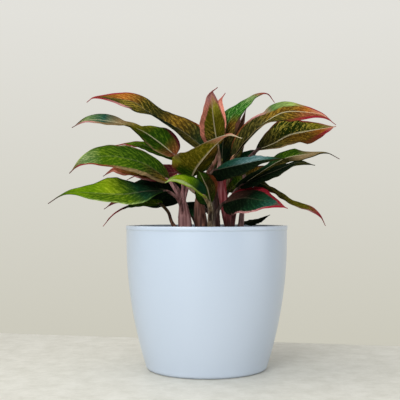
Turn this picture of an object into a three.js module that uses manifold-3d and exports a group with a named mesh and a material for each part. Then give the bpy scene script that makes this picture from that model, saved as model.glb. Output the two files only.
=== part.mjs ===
// A red-edged Chinese evergreen in a plain round planter.
// Millimetres, +Z up. The origin is the middle of the planter's underside.
// +X is the plant's widest spread, and the side it is mostly seen from is -Y.
import * as THREE from 'three';
import { mergeVertices } from 'three/addons/utils/BufferGeometryUtils.js';
import Module from 'manifold-3d';

const wasm = await Module();
wasm.setup();

// Planter
const RIM_RADIUS = 90;
const HEIGHT = 160;
const BASE_RADIUS = 67;
const STRAIGHT_FROM = 145;
const WALL = 4;
const FLOOR = 4.5;
const LIP_HEIGHT = 4.5;
const LIP_STEP = 0.7;
const EDGE_ROUND = 1.2;
const ROUND_SIDES = 40;

const OUTER_HEIGHTS = [12, 30, 50, 76, 108];
const INNER_HEIGHTS = [42, 76, 108];

// Potting mix
const MIX_TOP = 138;
const MIX_GAP = 0.4;
const MIX_TOP_RINGS = [0.86, 0.65, 0.43, 0.21];
const LUMP_HEIGHT = 1.3;
const LUMP_X = 0.21;
const LUMP_Y = 0.17;

// Shoots: canes with the petioles that spring from them
const CANE_FOOT = 118;
const SOCKET_GAP = 0.35;
const CANE_SIDES = 10;
const CANE_TAPER = 12;
const CANE_FOOT_SHARE = 0.8;
const CANE_SHOULDER_SHARE = 0.8;
const CANE_TOP_SHARE = 0.3;
const PETIOLE_SIDES = 6;
const PETIOLE_RINGS = 6;
const PETIOLE_END_RADIUS = 1.9;
const PETIOLE_SHEATH_RADIUS = 4.1;
const RISE_OUT = 0.18;
const RISE_UP = 0.45;
const LEAN_FLAT = 0.7;
const LEAN_UP = 0.5;
const APPROACH = 0.27;

// Leaf blades
const BLADE_GAP = 0.3;
const BLADE_THICKNESS = 0.9;
const BLADE_RINGS = 14;
const RING_CROWDING = 0.05;
const BODY_END = 0.97;
const STALK_HALF_WIDTH = 2;
const TIP_HALF_WIDTH = 0.45;
const ARCH = 0.16;
const WAVES = 2.6;
const WAVE_OFFSET = 1.3;
const WAVE_POWER = 1.5;
const RIB_HALF_WIDTH = 1.5;
const RIB_NARROWING = 0.6;
const RIB_MOST_SHARE = 0.4;
const RIB_DEPTH = 1.6;
const RIB_THINNING = 0.75;

const UP = new THREE.Vector3(0, 0, 1);

const finishes = {
  planter: { color: 0xd5dde6, roughness: 0.25, metalness: 0 },
  mix: { color: 0x2e2118, roughness: 0.95, metalness: 0 },
  shoot: { color: 0x9a5a52, roughness: 0.5, metalness: 0 },
  green: { color: 0x35621e, roughness: 0.4, metalness: 0 },
  dark: { color: 0x16331f, roughness: 0.4, metalness: 0 },
  flushed: { color: 0x6b5a1c, roughness: 0.4, metalness: 0 },
};

// Each cane: where it stands, how far its top leans in x, how thick it is with its sheaths,
// and how high it reaches.
const shoots = {
  a: { x: -22.5, y: 4, lean: -4.5, radius: 8.0, top: 190 },
  b: { x: -3.5, y: 14, lean: -7, radius: 7.8, top: 192 },
  c: { x: 5, y: -16, lean: 0, radius: 4.4, top: 176 },
  d: { x: 30, y: -2, lean: -18, radius: 5.8, top: 222 },
  e: { x: 38, y: 14, lean: 2, radius: 3.8, top: 180 },
  f: { x: 11, y: 34, lean: 0, radius: 5.0, top: 190 },
};

// Each leaf: its shoot, the height its petiole springs from, the blade's width and how full its
// outline is towards base and tip, how high its margin waves, a place the petiole passes if it
// doesn't rise straight, how far the blade is rolled about its midrib (positive turns the upper
// face to the right, looking out from the shoot), how steeply its halves fold up, and points
// along its midrib. Rolls, folds and points all run evenly from the petiole to the tip.
const leaves = [
  { name: 'upper_left', shoot: 'b', root: 168, width: 46, shape: [0.35, 1.05],
    wave: 1, finish: 'flushed',
    roll: [-46, -40, -22, -16, -44, -50, -40, -36],
    fold: [30, 30, 28, 22, 18, 14, 10, 0],
    midrib: [[-3, 10, 248], [-30, 13, 268.5], [-51, 17, 280.5], [-70, 20, 292], [-84, 22, 302],
      [-106, 25, 307], [-130, 28, 308.5], [-140, 29, 303]] },
  { name: 'left_second', shoot: 'a', root: 170, width: 45, shape: [0.36, 1.05],
    wave: 0.8, finish: 'flushed',
    roll: [-50, -53, -24, -6, -18, -40, -52, -46],
    fold: [36, 36, 24, 14, 12, 24, 15, 10],
    midrib: [[-36, 22, 240], [-57, 28, 257], [-76, 35, 270], [-96, 41, 278], [-118, 46, 283],
      [-142, 50, 285], [-161, 52, 276]] },
  { name: 'left_third', shoot: 'a', root: 165, width: 36, shape: [0.7, 1.3],
    wave: 0.6, finish: 'green',
    roll: [-14, -20, -20],
    fold: [16, 14, 10],
    midrib: [[-34, 37, 235], [-56, 49, 248], [-78, 60, 256], [-96, 69, 258], [-112, 76, 257]] },
  { name: 'mid_left', shoot: 'a', root: 160, width: 54, shape: [0.7, 1.35],
    wave: 0.8, finish: 'green',
    roll: [-42, -36, -40, -50, -42],
    fold: [11, 12, 10, 12, 8],
    midrib: [[-42, -5, 210], [-68, -12, 228], [-97, -22, 235.5], [-112, -27, 236], [-125, -30, 234],
      [-138, -33, 228], [-149, -35, 217]] },
  { name: 'lower_left', shoot: 'a', root: 152, width: 57, shape: [1.5, 2.4],
    wave: 1, finish: 'green',
    roll: [-16, -28, -38, -32, -25],
    fold: [10, 15, 22, 11, 8],
    midrib: [[-43, -15, 198], [-64, -24, 198], [-90, -36, 194], [-116, -45, 195], [-141, -53, 196],
      [-155, -57, 192], [-167, -60, 184]] },
  { name: 'low_left', shoot: 'a', root: 144, width: 26, shape: [0.5, 1.5],
    wave: 0.4, finish: 'dark', via: [-39, 11, 162],
    roll: [-20, -22, -26],
    fold: [10, 10, 8],
    midrib: [[-53, 20, 184], [-69, 31, 186], [-85, 42, 184], [-101, 52, 179], [-114, 60, 171],
      [-126, 68, 158]] },
  { name: 'under_left', shoot: 'a', root: 160, width: 36, shape: [0.6, 0.9],
    wave: 0.8, finish: 'dark',
    roll: [-14, -20, -30],
    fold: [12, 12, 8],
    midrib: [[-40, 10, 209], [-65, 16, 218], [-89, 22, 222], [-106, 27, 225], [-121, 30, 217]] },
  { name: 'inner_left', shoot: 'a', root: 158, width: 32, shape: [0.7, 1.4],
    wave: 0.6, finish: 'dark',
    roll: [-38, -45, -10],
    fold: [12, 12, 8],
    midrib: [[-32, 24, 221], [-50, 41, 221], [-70, 55, 221], [-84, 67, 220], [-98, 80, 215]] },
  { name: 'centre_upright', shoot: 'c', root: 168, width: 35, shape: [0.5, 1.3],
    wave: 0.8, finish: 'flushed',
    roll: [36, 36, 26],
    fold: [26, 26, 18],
    midrib: [[12, -16, 248], [9, -28, 262], [6.5, -44, 278], [5, -60, 292], [5, -70, 299],
      [11, -78, 303.5]] },
  { name: 'behind_upright', shoot: 'b', root: 170, width: 21, shape: [0.7, 1.4],
    wave: 0.4, finish: 'flushed',
    roll: [0, 0, 0],
    fold: [18, 18, 14],
    midrib: [[12, 10, 258], [13, 22, 275], [14, 34, 291], [16, 44, 306], [22, 50, 317]] },
  { name: 'upper_right_green', shoot: 'f', root: 165, width: 33, shape: [0.7, 1],
    wave: 1, finish: 'green',
    roll: [12, 14, 14, 12],
    fold: [20, 14, 10, 8],
    midrib: [[17, 20, 232], [20.5, 30, 264], [30.5, 41, 289], [47, 49, 306], [61, 54, 315],
      [73, 58, 317], [82, 60, 307]] },
  { name: 'right_long', shoot: 'd', root: 194, width: 46, shape: [0.75, 1.15],
    wave: 0.8, finish: 'flushed',
    roll: [32, 30, 30, 26, 44, 44, 34, 14],
    fold: [34, 36, 34, 18, 14, 6, 4, 0],
    midrib: [[29, -5, 236], [41, -6, 251], [51, -7, 262], [60, -8, 270.5], [70, -9, 278],
      [86, -10, 286], [106, -12, 286.5], [128, -14, 282.5], [143.5, -15, 272]] },
  { name: 'right_wavy', shoot: 'e', root: 165, width: 49, shape: [0.9, 1],
    wave: 1.8, finish: 'flushed',
    roll: [42, 39, 51, 37, 34],
    fold: [30, 30, 20, 18, 10],
    midrib: [[58, 24, 247], [78, 33, 255], [98, 43, 266], [122, 55, 272], [140, 66, 276],
      [158, 75, 280]] },
  { name: 'mid_right', shoot: 'c', root: 166, width: 52, shape: [0.6, 1.4],
    wave: 1, finish: 'dark',
    roll: [34, 33, 24],
    fold: [10, 4, -2, 4, 4],
    midrib: [[9, -17, 221], [30, -37, 225], [53, -58, 229], [68, -70, 230], [81, -80, 230]] },
  { name: 'olive_right', shoot: 'f', root: 160, width: 42, shape: [0.7, 1.4],
    wave: 0.8, finish: 'flushed',
    roll: [30, 28, 20],
    fold: [8, 8, 4],
    midrib: [[25, 30, 199], [42, 38, 214], [55, 46, 222], [66, 54, 229], [74, 60, 231]] },
  { name: 'right_thin_tip', shoot: 'd', root: 164, width: 38, shape: [0.7, 1.2],
    wave: 0.6, finish: 'dark',
    roll: [20, 14, 12, 12, 22, 34, 20, 10, 10],
    fold: [20, 14, 10, 6, 14, 16, 4, 0, 0],
    midrib: [[33, -4, 200], [57, 0, 217], [87, 4, 235], [115, 8, 241], [136, 10, 243],
      [152, 12, 236]] },
  { name: 'right_dark', shoot: 'd', root: 155, width: 37, shape: [0.6, 1],
    wave: 0.8, finish: 'dark', via: [34, -5, 188],
    roll: [28, 28, 27, 18],
    fold: [4, 4, 4, 0],
    midrib: [[38, -19, 204], [57, -34, 212.5], [78, -44, 221], [96, -54, 227.5],
      [114, -60, 224.5]] },
  { name: 'low_right_broad', shoot: 'c', root: 152, width: 48, shape: [0.6, 1.2],
    wave: 1, finish: 'dark',
    roll: [48, 36, 28],
    fold: [4, 0, 0],
    midrib: [[19, -25, 185], [39, -42, 190], [54, -58, 188], [70, -72, 184], [83, -81, 179]] },
  { name: 'long_droop', shoot: 'e', root: 155, width: 33, shape: [0.7, 0.95],
    wave: 0.8, finish: 'flushed',
    roll: [36, 34, 28, 18, 30, 30],
    fold: [9, 9, 9, 9],
    midrib: [[45, 7, 207], [59, 14, 208], [70, 20, 205], [81, 27, 197.5], [100, 34, 187],
      [121, 39, 179.5], [134, 42, 170.5], [141, 45, 159]] },
  { name: 'small_low_right', shoot: 'e', root: 146, width: 19, shape: [0.7, 1.4],
    wave: 0.4, finish: 'dark',
    roll: [14, 12, 12],
    fold: [0, 0, 0],
    midrib: [[40, 30, 162], [48, 38, 163], [57, 46, 165], [67, 53, 168], [76, 60, 172]] },
  { name: 'centre_olive', shoot: 'c', root: 162, width: 60, shape: [0.6, 1.1],
    wave: 1.2, finish: 'flushed',
    roll: [6, 8, 14, 16, 10],
    fold: [26, 32, 34, 22, 8],
    midrib: [[-17, -25, 213], [-12, -52, 221], [-3, -80, 231], [9, -100, 243], [21, -109, 251],
      [35, -112, 248]] },
  { name: 'small_light', shoot: 'c', root: 152, width: 25, shape: [0.5, 1.2],
    wave: 0.6, finish: 'green',
    roll: [-68, -66, -58, -52],
    fold: [40, 40, 34, 18, 8],
    midrib: [[-2, -68, 191], [-10, -80, 197], [-18, -91, 203], [-26, -99, 207], [-35, -107, 207],
      [-41, -111, 204]] },
  { name: 'front_midrib', shoot: 'c', root: 156, width: 31, shape: [0.7, 1.4],
    wave: 0.6, finish: 'dark',
    roll: [42, 42, 36],
    fold: [18, 18, 12],
    midrib: [[4, -31, 184], [2, -43, 193], [0, -53, 201], [-3, -65, 207], [-6, -77, 213],
      [-10, -90, 219]] },
  { name: 'back_middle', shoot: 'f', root: 165, width: 42, shape: [0.7, 1.4],
    wave: 1.2, finish: 'dark',
    roll: [0, 0, 0],
    fold: [14, 14, 10],
    midrib: [[6, 38, 222], [8, 60, 240], [12, 88, 252], [16, 116, 254], [20, 138, 246]] },
  { name: 'back_left', shoot: 'b', root: 162, width: 40, shape: [0.7, 1.4],
    wave: 1.2, finish: 'green',
    roll: [0, 0, 0],
    fold: [14, 14, 10],
    midrib: [[-9, 45, 222], [-15, 70, 234], [-23, 95, 238], [-30, 115, 236], [-36, 130, 230]] },
  { name: 'back_right', shoot: 'f', root: 160, width: 27, shape: [0.7, 1.4],
    wave: 0.8, finish: 'dark',
    roll: [0, 0, 0],
    fold: [14, 14, 10],
    midrib: [[27, 30, 228], [32, 40, 248], [37, 50, 268], [43, 56, 284], [47, 60, 299]] },
  { name: 'low_back', shoot: 'f', root: 152, width: 42, shape: [0.7, 1.4],
    wave: 1, finish: 'dark',
    roll: [0, 0, 0],
    fold: [10, 10, 8],
    midrib: [[-4, 52, 186], [-7, 74, 186], [-10, 96, 180], [-13, 114, 170], [-15, 126, 154]] },
  { name: 'low_back_left', shoot: 'a', root: 150, width: 50, shape: [0.7, 1.4],
    wave: 1, finish: 'dark',
    roll: [-65, -65, -50],
    fold: [10, 10, 8],
    midrib: [[-29, 33, 190], [-48, 52, 201], [-76, 70, 201], [-104, 84, 194], [-128, 94, 179]] },
  { name: 'low_back_right', shoot: 'f', root: 172, width: 27, shape: [0.8, 1.2],
    wave: 0.8, finish: 'dark', via: [13, 39, 219],
    roll: [34, 34, 34],
    fold: [8, 8, 8],
    midrib: [[31, 38, 224], [38, 45, 233], [46, 51, 240], [54, 56, 246], [64, 60, 250]] },
];

const plant = new THREE.Group();

function addPiece(name, geometry, finish) {
  const mesh = new THREE.Mesh(geometry, new THREE.MeshStandardMaterial(finishes[finish]));
  mesh.name = name;
  plant.add(mesh);
}

// A closed skin over a row of rings, each ring a loop of as many points, with a flat fan on
// each end. flip says, for each column, which way its quads are split.
function skin(rings, flip = () => false) {
  const count = rings[0].length;
  const positions = rings.flat().flatMap((point) => [point.x, point.y, point.z]);
  const faces = [];
  for (let i = 0; i < rings.length - 1; i += 1) {
    for (let j = 0; j < count; j += 1) {
      const a = i * count + j;
      const b = i * count + ((j + 1) % count);
      const c = a + count;
      const d = b + count;
      if (flip(j)) faces.push(a, b, c, b, d, c);
      else faces.push(a, b, d, a, d, c);
    }
  }
  const last = (rings.length - 1) * count;
  for (let j = 1; j < count - 1; j += 1) {
    faces.push(0, j + 1, j);
    faces.push(last, last + j, last + j + 1);
  }
  const geometry = new THREE.BufferGeometry();
  geometry.setAttribute('position', new THREE.Float32BufferAttribute(positions, 3));
  geometry.setIndex(faces);
  return geometry;
}

function toSolid(geometry) {
  const bare = geometry.clone();
  bare.deleteAttribute('normal');
  bare.deleteAttribute('uv');
  const merged = mergeVertices(bare);
  const vertProperties = new Float32Array(merged.attributes.position.array);
  const triVerts = new Uint32Array(merged.index.array);
  return new wasm.Manifold(new wasm.Mesh({ numProp: 3, vertProperties, triVerts }));
}

function toGeometry(solid) {
  const mesh = solid.getMesh();
  const geometry = new THREE.BufferGeometry();
  geometry.setAttribute('position', new THREE.Float32BufferAttribute(mesh.vertProperties, 3));
  geometry.setIndex(Array.from(mesh.triVerts));
  return geometry;
}

function curveThrough(points) {
  const vectors = points.map((point) => new THREE.Vector3(...point));
  return new THREE.CatmullRomCurve3(vectors, false, 'catmullrom', 0.5);
}

// The directions across and out of a stem or blade that runs along tangent.
function frameAlong(tangent) {
  const normal = UP.clone().addScaledVector(tangent, -UP.dot(tangent)).normalize();
  const across = new THREE.Vector3().crossVectors(tangent, normal);
  return { across, normal };
}

function circle(centre, across, normal, radius, sides) {
  return Array.from({ length: sides }, (_, i) => {
    const angle = (2 * Math.PI * i) / sides;
    return centre.clone()
      .addScaledVector(across, radius * Math.cos(angle))
      .addScaledVector(normal, radius * Math.sin(angle));
  });
}

// Planter wall: an arc that leans out from the base and turns upright at STRAIGHT_FROM.
const wallRise = STRAIGHT_FROM;
const wallLean = RIM_RADIUS - BASE_RADIUS;
const arcRadius = (wallRise ** 2 + wallLean ** 2) / (2 * wallLean);

function wallRadius(z) {
  const below = Math.max(0, STRAIGHT_FROM - z);
  return RIM_RADIUS - arcRadius + Math.sqrt(arcRadius ** 2 - below ** 2);
}

function lathe(profile) {
  const points = profile.map(([radius, z]) => new THREE.Vector2(radius, z));
  return new THREE.LatheGeometry(points, ROUND_SIDES).rotateX(Math.PI / 2);
}

function buildPlanter() {
  const outerHeights = [...OUTER_HEIGHTS, STRAIGHT_FROM];
  const cornerTop = FLOOR + EDGE_ROUND * 2;
  const innerHeights = [cornerTop, ...INNER_HEIGHTS, MIX_TOP, STRAIGHT_FROM].reverse();
  const lipFoot = HEIGHT - LIP_HEIGHT;
  const lip = RIM_RADIUS + LIP_STEP;
  const inside = RIM_RADIUS - WALL;
  const profile = [
    [0, 0],
    [wallRadius(0) - EDGE_ROUND, 0],
    [wallRadius(EDGE_ROUND), EDGE_ROUND],
    ...outerHeights.map((z) => [wallRadius(z), z]),
    [RIM_RADIUS, lipFoot - LIP_STEP],
    [lip, lipFoot],
    [lip, HEIGHT - EDGE_ROUND],
    [lip - EDGE_ROUND * 0.3, HEIGHT - EDGE_ROUND * 0.3],
    [lip - EDGE_ROUND, HEIGHT],
    [inside + EDGE_ROUND, HEIGHT],
    [inside, HEIGHT - EDGE_ROUND],
    ...innerHeights.map((z) => [wallRadius(z) - WALL, z]),
    [wallRadius(FLOOR) - WALL - EDGE_ROUND * 2, FLOOR],
    [0, FLOOR],
  ];
  addPiece('planter', lathe(profile), 'planter');
}

// A cane stands upright to the rim and leans from there.
function caneAxis(shoot, z) {
  const share = Math.max(0, z - MIX_TOP) / (shoot.top - MIX_TOP);
  return new THREE.Vector3(shoot.x + shoot.lean * share, shoot.y, z);
}

function caneRings(shoot, grow) {
  const across = new THREE.Vector3(1, 0, 0);
  const normal = new THREE.Vector3(0, 1, 0);
  const foot = CANE_FOOT - grow;
  const steps = [
    [foot, CANE_FOOT_SHARE],
    [MIX_TOP, 1],
    [shoot.top - CANE_TAPER, CANE_SHOULDER_SHARE],
    [shoot.top, CANE_TOP_SHARE],
  ];
  return steps.map(([z, share]) => {
    const centre = caneAxis(shoot, z);
    return circle(centre, across, normal, shoot.radius * share + grow, CANE_SIDES);
  });
}

// The mix fills the planter, with a slightly lumpy top and a plain hole round each cane.
function buildMix() {
  const floor = FLOOR + MIX_GAP;
  const cornerTop = floor + EDGE_ROUND * 2;
  const edge = (z) => wallRadius(z) - WALL - MIX_GAP;
  const profile = [
    [0, floor],
    [edge(floor) - EDGE_ROUND * 3, floor],
    [edge(cornerTop), cornerTop],
    ...[...INNER_HEIGHTS, MIX_TOP].map((z) => [edge(z), z]),
    ...MIX_TOP_RINGS.map((share) => [edge(MIX_TOP) * share, MIX_TOP]),
    [0, MIX_TOP],
  ];
  const geometry = lathe(profile);
  const position = geometry.attributes.position;
  for (let i = 0; i < position.count; i += 1) {
    const x = position.getX(i);
    const y = position.getY(i);
    const isTop = position.getZ(i) > MIX_TOP - 1 && Math.hypot(x, y) < edge(MIX_TOP) - 1;
    const lump = LUMP_HEIGHT * Math.sin(x * LUMP_X + 1) * Math.cos(y * LUMP_Y - 1);
    if (isTop) position.setZ(i, MIX_TOP + lump);
  }
  const holes = Object.values(shoots).map((shoot) => toSolid(skin(caneRings(shoot, SOCKET_GAP))));
  let solid = toSolid(geometry);
  for (const hole of holes) solid = solid.subtract(hole);
  addPiece('potting_mix', toGeometry(solid), 'mix');
}

// A petiole rises beside its cane, then leans out and bends into the blade.
function petioleCurve(leaf) {
  const root = caneAxis(shoots[leaf.shoot], leaf.root);
  const base = new THREE.Vector3(...leaf.midrib[0]);
  const start = curveThrough(leaf.midrib).getTangentAt(0);
  const reach = base.distanceTo(root);
  const rise = root.clone().lerp(base, RISE_OUT);
  rise.z = root.z + RISE_UP * (base.z - root.z);
  const lean = start.clone().multiplyScalar(LEAN_FLAT).addScaledVector(UP, LEAN_UP).normalize();
  const approach = base.clone().addScaledVector(lean, -APPROACH * reach);
  const bend = leaf.via ? new THREE.Vector3(...leaf.via) : rise;
  return new THREE.CatmullRomCurve3([root, bend, approach, base], false, 'catmullrom', 0.5);
}

function buildPetiole(leaf) {
  const curve = petioleCurve(leaf);
  const bladeStart = curveThrough(leaf.midrib).getTangentAt(0);
  const across = new THREE.Vector3(1, 0, 0);
  const rings = [];
  for (let i = 0; i < PETIOLE_RINGS; i += 1) {
    const share = i / (PETIOLE_RINGS - 1);
    const centre = curve.getPointAt(share);
    const tangent = share < 1 ? curve.getTangentAt(share) : bladeStart;
    across.addScaledVector(tangent, -across.dot(tangent)).normalize();
    const normal = new THREE.Vector3().crossVectors(tangent, across);
    const swell = (PETIOLE_SHEATH_RADIUS - PETIOLE_END_RADIUS) * (1 - share) ** 1.5;
    rings.push(circle(centre, across.clone(), normal, PETIOLE_END_RADIUS + swell, PETIOLE_SIDES));
  }
  return skin(rings);
}

function buildShoot(key) {
  const petioles = leaves.filter((leaf) => leaf.shoot === key).map((leaf) => toSolid(buildPetiole(leaf)));
  let solid = toSolid(skin(caneRings(shoots[key], 0)));
  for (const petiole of petioles) solid = solid.add(petiole);
  addPiece(`shoot_${key}`, toGeometry(solid), 'shoot');
}

// Half the blade's width at a share s of its length: a rounded base, the widest part before
// the middle, and a long drawn-out tip.
function halfWidth(s, width, [towardsBase, towardsTip]) {
  const x = Math.min(s / BODY_END, 1);
  const widest = towardsBase / (towardsBase + towardsTip);
  const body = (v) => v ** towardsBase * (1 - v) ** towardsTip;
  const tail = STALK_HALF_WIDTH * (1 - s) + TIP_HALF_WIDTH * s;
  return tail + (width / 2 - STALK_HALF_WIDTH) * (body(x) / body(widest));
}

// An angle in radians at a share s of the length, from degrees given evenly from base to tip.
function angleAt(degrees, s) {
  const place = s * (degrees.length - 1);
  const before = Math.min(Math.floor(place), degrees.length - 2);
  const value = THREE.MathUtils.lerp(degrees[before], degrees[before + 1], place - before);
  return THREE.MathUtils.degToRad(value);
}

// One cross-section of a blade, upper face first from left to right, then the under face back
// with its raised midrib.
function bladeRing(leaf, curve, s) {
  const tangent = curve.getTangentAt(s);
  const centre = curve.getPointAt(s).addScaledVector(tangent, BLADE_GAP * (1 - s));
  const flat = frameAlong(tangent);
  const roll = angleAt(leaf.roll, s);
  const normal = flat.normal.clone().applyAxisAngle(tangent, roll);
  const across = flat.across.clone().applyAxisAngle(tangent, roll);
  const half = halfWidth(s, leaf.width, leaf.shape);
  const fold = angleAt(leaf.fold, s);
  const ends = Math.sin(Math.PI * Math.min(1, s / BODY_END));
  const rib = Math.min(RIB_MOST_SHARE, RIB_HALF_WIDTH * (1 - RIB_NARROWING * s) / half);
  const at = (u, depth) => {
    const out = Math.abs(u);
    const phase = 2 * Math.PI * WAVES * s + (u > 0 ? WAVE_OFFSET : 0);
    const wave = leaf.wave * Math.sin(phase) * ends * out ** WAVE_POWER;
    const lift = half * out * Math.sin(fold) - ARCH * half * u * u + wave;
    return centre.clone()
      .addScaledVector(across, half * u * Math.cos(fold))
      .addScaledVector(normal, lift + depth);
  };
  const skinDepth = BLADE_THICKNESS / 2;
  const ribDepth = skinDepth + RIB_DEPTH * (1 - RIB_THINNING * s);
  const upper = [-1, -0.5, 0, 0.5, 1].map((u) => at(u, skinDepth));
  const under = [1, 0.5, rib, 0, -rib, -0.5, -1].map((u) => at(u, u === 0 ? -ribDepth : -skinDepth));
  return [...upper, ...under];
}

function buildBlade(leaf) {
  const curve = curveThrough(leaf.midrib);
  const rings = [];
  for (let i = 0; i < BLADE_RINGS; i += 1) {
    const step = i / (BLADE_RINGS - 1);
    const s = step - RING_CROWDING * Math.sin(2 * Math.PI * step);
    rings.push(bladeRing(leaf, curve, s));
  }
  const upperColumns = 4;
  addPiece(`leaf_${leaf.name}`, skin(rings, (column) => column > upperColumns), leaf.finish);
}

buildPlanter();
buildMix();
Object.keys(shoots).forEach(buildShoot);
leaves.forEach(buildBlade);

export default plant;
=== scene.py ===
# A red-edged Chinese evergreen in a plain round planter, dressed over its CAD frame.
# Everything is in metres, in the frame of the CAD model. Sizes below are written in
# millimetres and multiplied by MM where they meet the mesh.
import math

import bpy
import mathutils
import numpy as np
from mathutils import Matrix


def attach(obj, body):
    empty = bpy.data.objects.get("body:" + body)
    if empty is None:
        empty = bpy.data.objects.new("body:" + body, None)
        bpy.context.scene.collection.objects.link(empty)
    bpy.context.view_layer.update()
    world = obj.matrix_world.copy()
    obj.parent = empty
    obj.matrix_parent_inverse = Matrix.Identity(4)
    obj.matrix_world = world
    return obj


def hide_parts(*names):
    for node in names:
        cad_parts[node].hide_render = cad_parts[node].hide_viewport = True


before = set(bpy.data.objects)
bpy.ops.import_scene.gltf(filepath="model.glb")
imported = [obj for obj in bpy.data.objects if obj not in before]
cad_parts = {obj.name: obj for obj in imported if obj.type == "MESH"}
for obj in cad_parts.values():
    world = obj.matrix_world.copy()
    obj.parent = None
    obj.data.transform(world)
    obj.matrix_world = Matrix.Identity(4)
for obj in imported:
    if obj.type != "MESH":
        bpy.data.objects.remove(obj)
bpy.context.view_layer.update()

MM = 0.001


# Camera, floor and light. The camera is level and stands a little above the rim, in front
# of the planter; the two shifts only place the frame's edges as the photograph's are.
PHOTO_SIDE = 400
PLANTER_AXIS_COLUMN = 206.7
HORIZON_ROW = 213
FOCAL_IN_PIXELS = 793
CAMERA_DISTANCE = 894
CAMERA_HEIGHT = 174

bpy.ops.object.select_all(action="DESELECT")
bpy.ops.object.camera_add(
    location=(0, -CAMERA_DISTANCE * MM, CAMERA_HEIGHT * MM),
    rotation=(math.radians(90), 0, 0),
)
camera = bpy.context.object
camera.name = "camera"
camera.data.lens = FOCAL_IN_PIXELS / PHOTO_SIDE * camera.data.sensor_width
camera.data.shift_x = (PHOTO_SIDE / 2 - PLANTER_AXIS_COLUMN) / PHOTO_SIDE
camera.data.shift_y = (HORIZON_ROW - PHOTO_SIDE / 2) / PHOTO_SIDE
bpy.context.scene.camera = camera
bpy.context.scene.view_settings.view_transform = "Standard"


def add_node(tree, kind, inputs=None, **settings):
    """A node whose inputs are given as values or as other nodes' outputs."""
    node = tree.nodes.new("ShaderNode" + kind)
    for name, value in settings.items():
        setattr(node, name, value)
    for name, value in (inputs or {}).items():
        if isinstance(value, bpy.types.NodeSocket):
            tree.links.new(value, node.inputs[name])
        else:
            node.inputs[name].default_value = value
    return node


def new_material(name, finish):
    """A material with only an output and one Principled shader, whose plain inputs are given."""
    material = bpy.data.materials.new(name)
    material.use_nodes = True
    tree = material.node_tree
    tree.nodes.clear()
    shader = add_node(tree, "BsdfPrincipled", finish)
    add_node(tree, "OutputMaterial", {"Surface": shader.outputs["BSDF"]})
    return material, tree, shader


def add_noise(tree, place, scale, detail, roughness=0.5):
    """Noise over a place, from 0 to 1."""
    inputs = {"Vector": place, "Scale": scale, "Detail": detail, "Roughness": roughness}
    return add_node(tree, "TexNoise", inputs).outputs["Fac"]


def add_range(tree, value, low, high, to_low=0.0, to_high=1.0):
    """A value brought from one range into another, and held inside it."""
    inputs = {"Value": value, "From Min": low, "From Max": high, "To Min": to_low, "To Max": to_high}
    return add_node(tree, "MapRange", inputs).outputs["Result"]


def add_ramp(tree, value, *ends):
    """A blend over a value, from one (level, colour) to the other."""
    ramp = add_node(tree, "ValToRGB", {"Fac": value})
    for element, (level, colour) in zip(ramp.color_ramp.elements, ends):
        element.position = level
        element.color = (*colour, 1)
    return ramp.outputs["Color"]


def blend(tree, factor, first, second):
    """A mix of two colours, given as values or as other nodes' outputs."""
    mixed = add_node(tree, "Mix", {"Factor": factor}, data_type="RGBA")
    for socket, value in ((mixed.inputs[6], first), (mixed.inputs[7], second)):
        if isinstance(value, bpy.types.NodeSocket):
            tree.links.new(value, socket)
        else:
            socket.default_value = (*value, 1)
    return mixed.outputs[2]


FLOOR_DARK = (0.60, 0.575, 0.50)
FLOOR_PALE = (0.70, 0.675, 0.605)
FLOOR_BACK_EDGE = ((-300, 256), (253, 143))
FLOOR_SIDE = 4000
SLAB_THICKNESS = 30
SLAB_BEVEL = 1.5
(left_x, left_y), (right_x, right_y) = FLOOR_BACK_EDGE
edge_turn = math.atan2(right_y - left_y, right_x - left_x)
bpy.ops.object.select_all(action="DESELECT")
bpy.ops.mesh.primitive_cube_add(size=1)
floor = bpy.context.object
floor.name = "floor"
bpy.ops.object.mode_set(mode="EDIT")
bpy.ops.transform.resize(value=(FLOOR_SIDE * MM, FLOOR_SIDE * MM, SLAB_THICKNESS * MM))
bpy.ops.transform.translate(value=(0, -FLOOR_SIDE / 2 * MM, -SLAB_THICKNESS / 2 * MM))
bpy.ops.mesh.bevel(offset=SLAB_BEVEL * MM, segments=2, affect="EDGES")
bpy.ops.object.mode_set(mode="OBJECT")
floor.rotation_euler = (0, 0, edge_turn)
floor.location = ((left_x + right_x) / 2 * MM, (left_y + right_y) / 2 * MM, 0)
bpy.ops.object.transform_apply(location=True, rotation=True)
floor_finish = {"Roughness": 0.5, "Specular IOR Level": 0.25}
floor_material, tree, shader = new_material("pale_floor", floor_finish)
place = add_node(tree, "TexCoord").outputs["Object"]
veining = add_noise(tree, place, 38.0, 8.0, 0.78)
stone = add_ramp(tree, veining, (0.38, FLOOR_DARK), (0.6, FLOOR_PALE))
tree.links.new(stone, shader.inputs["Base Color"])
floor.data.materials.append(floor_material)

# The room: a pale wall behind the planter, a little darker towards its foot, and the softer
# dark of the room on the camera's side. It lights the plant from all round.
WALL_LOW = (0.60, 0.585, 0.50)
WALL_HIGH = (0.765, 0.755, 0.71)
ROOM_COLOUR = (0.34, 0.36, 0.38)
WALL_RISE = (-0.16, 0.24)
ROOM_TURN = (0.0, 0.6)
world = bpy.data.worlds.new("room")
world.use_nodes = True
tree = world.node_tree
tree.nodes.clear()
sky = add_node(tree, "Background")
output = add_node(tree, "OutputWorld")
tree.links.new(sky.outputs[0], output.inputs["Surface"])
way = add_node(tree, "SeparateXYZ", {0: add_node(tree, "TexCoord").outputs["Generated"]})
wall = blend(tree, add_range(tree, way.outputs["Z"], *WALL_RISE), WALL_LOW, WALL_HIGH)
room = blend(tree, add_range(tree, way.outputs["Y"], *ROOM_TURN), ROOM_COLOUR, wall)
tree.links.new(room, sky.inputs["Color"])
bpy.context.scene.world = world


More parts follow.
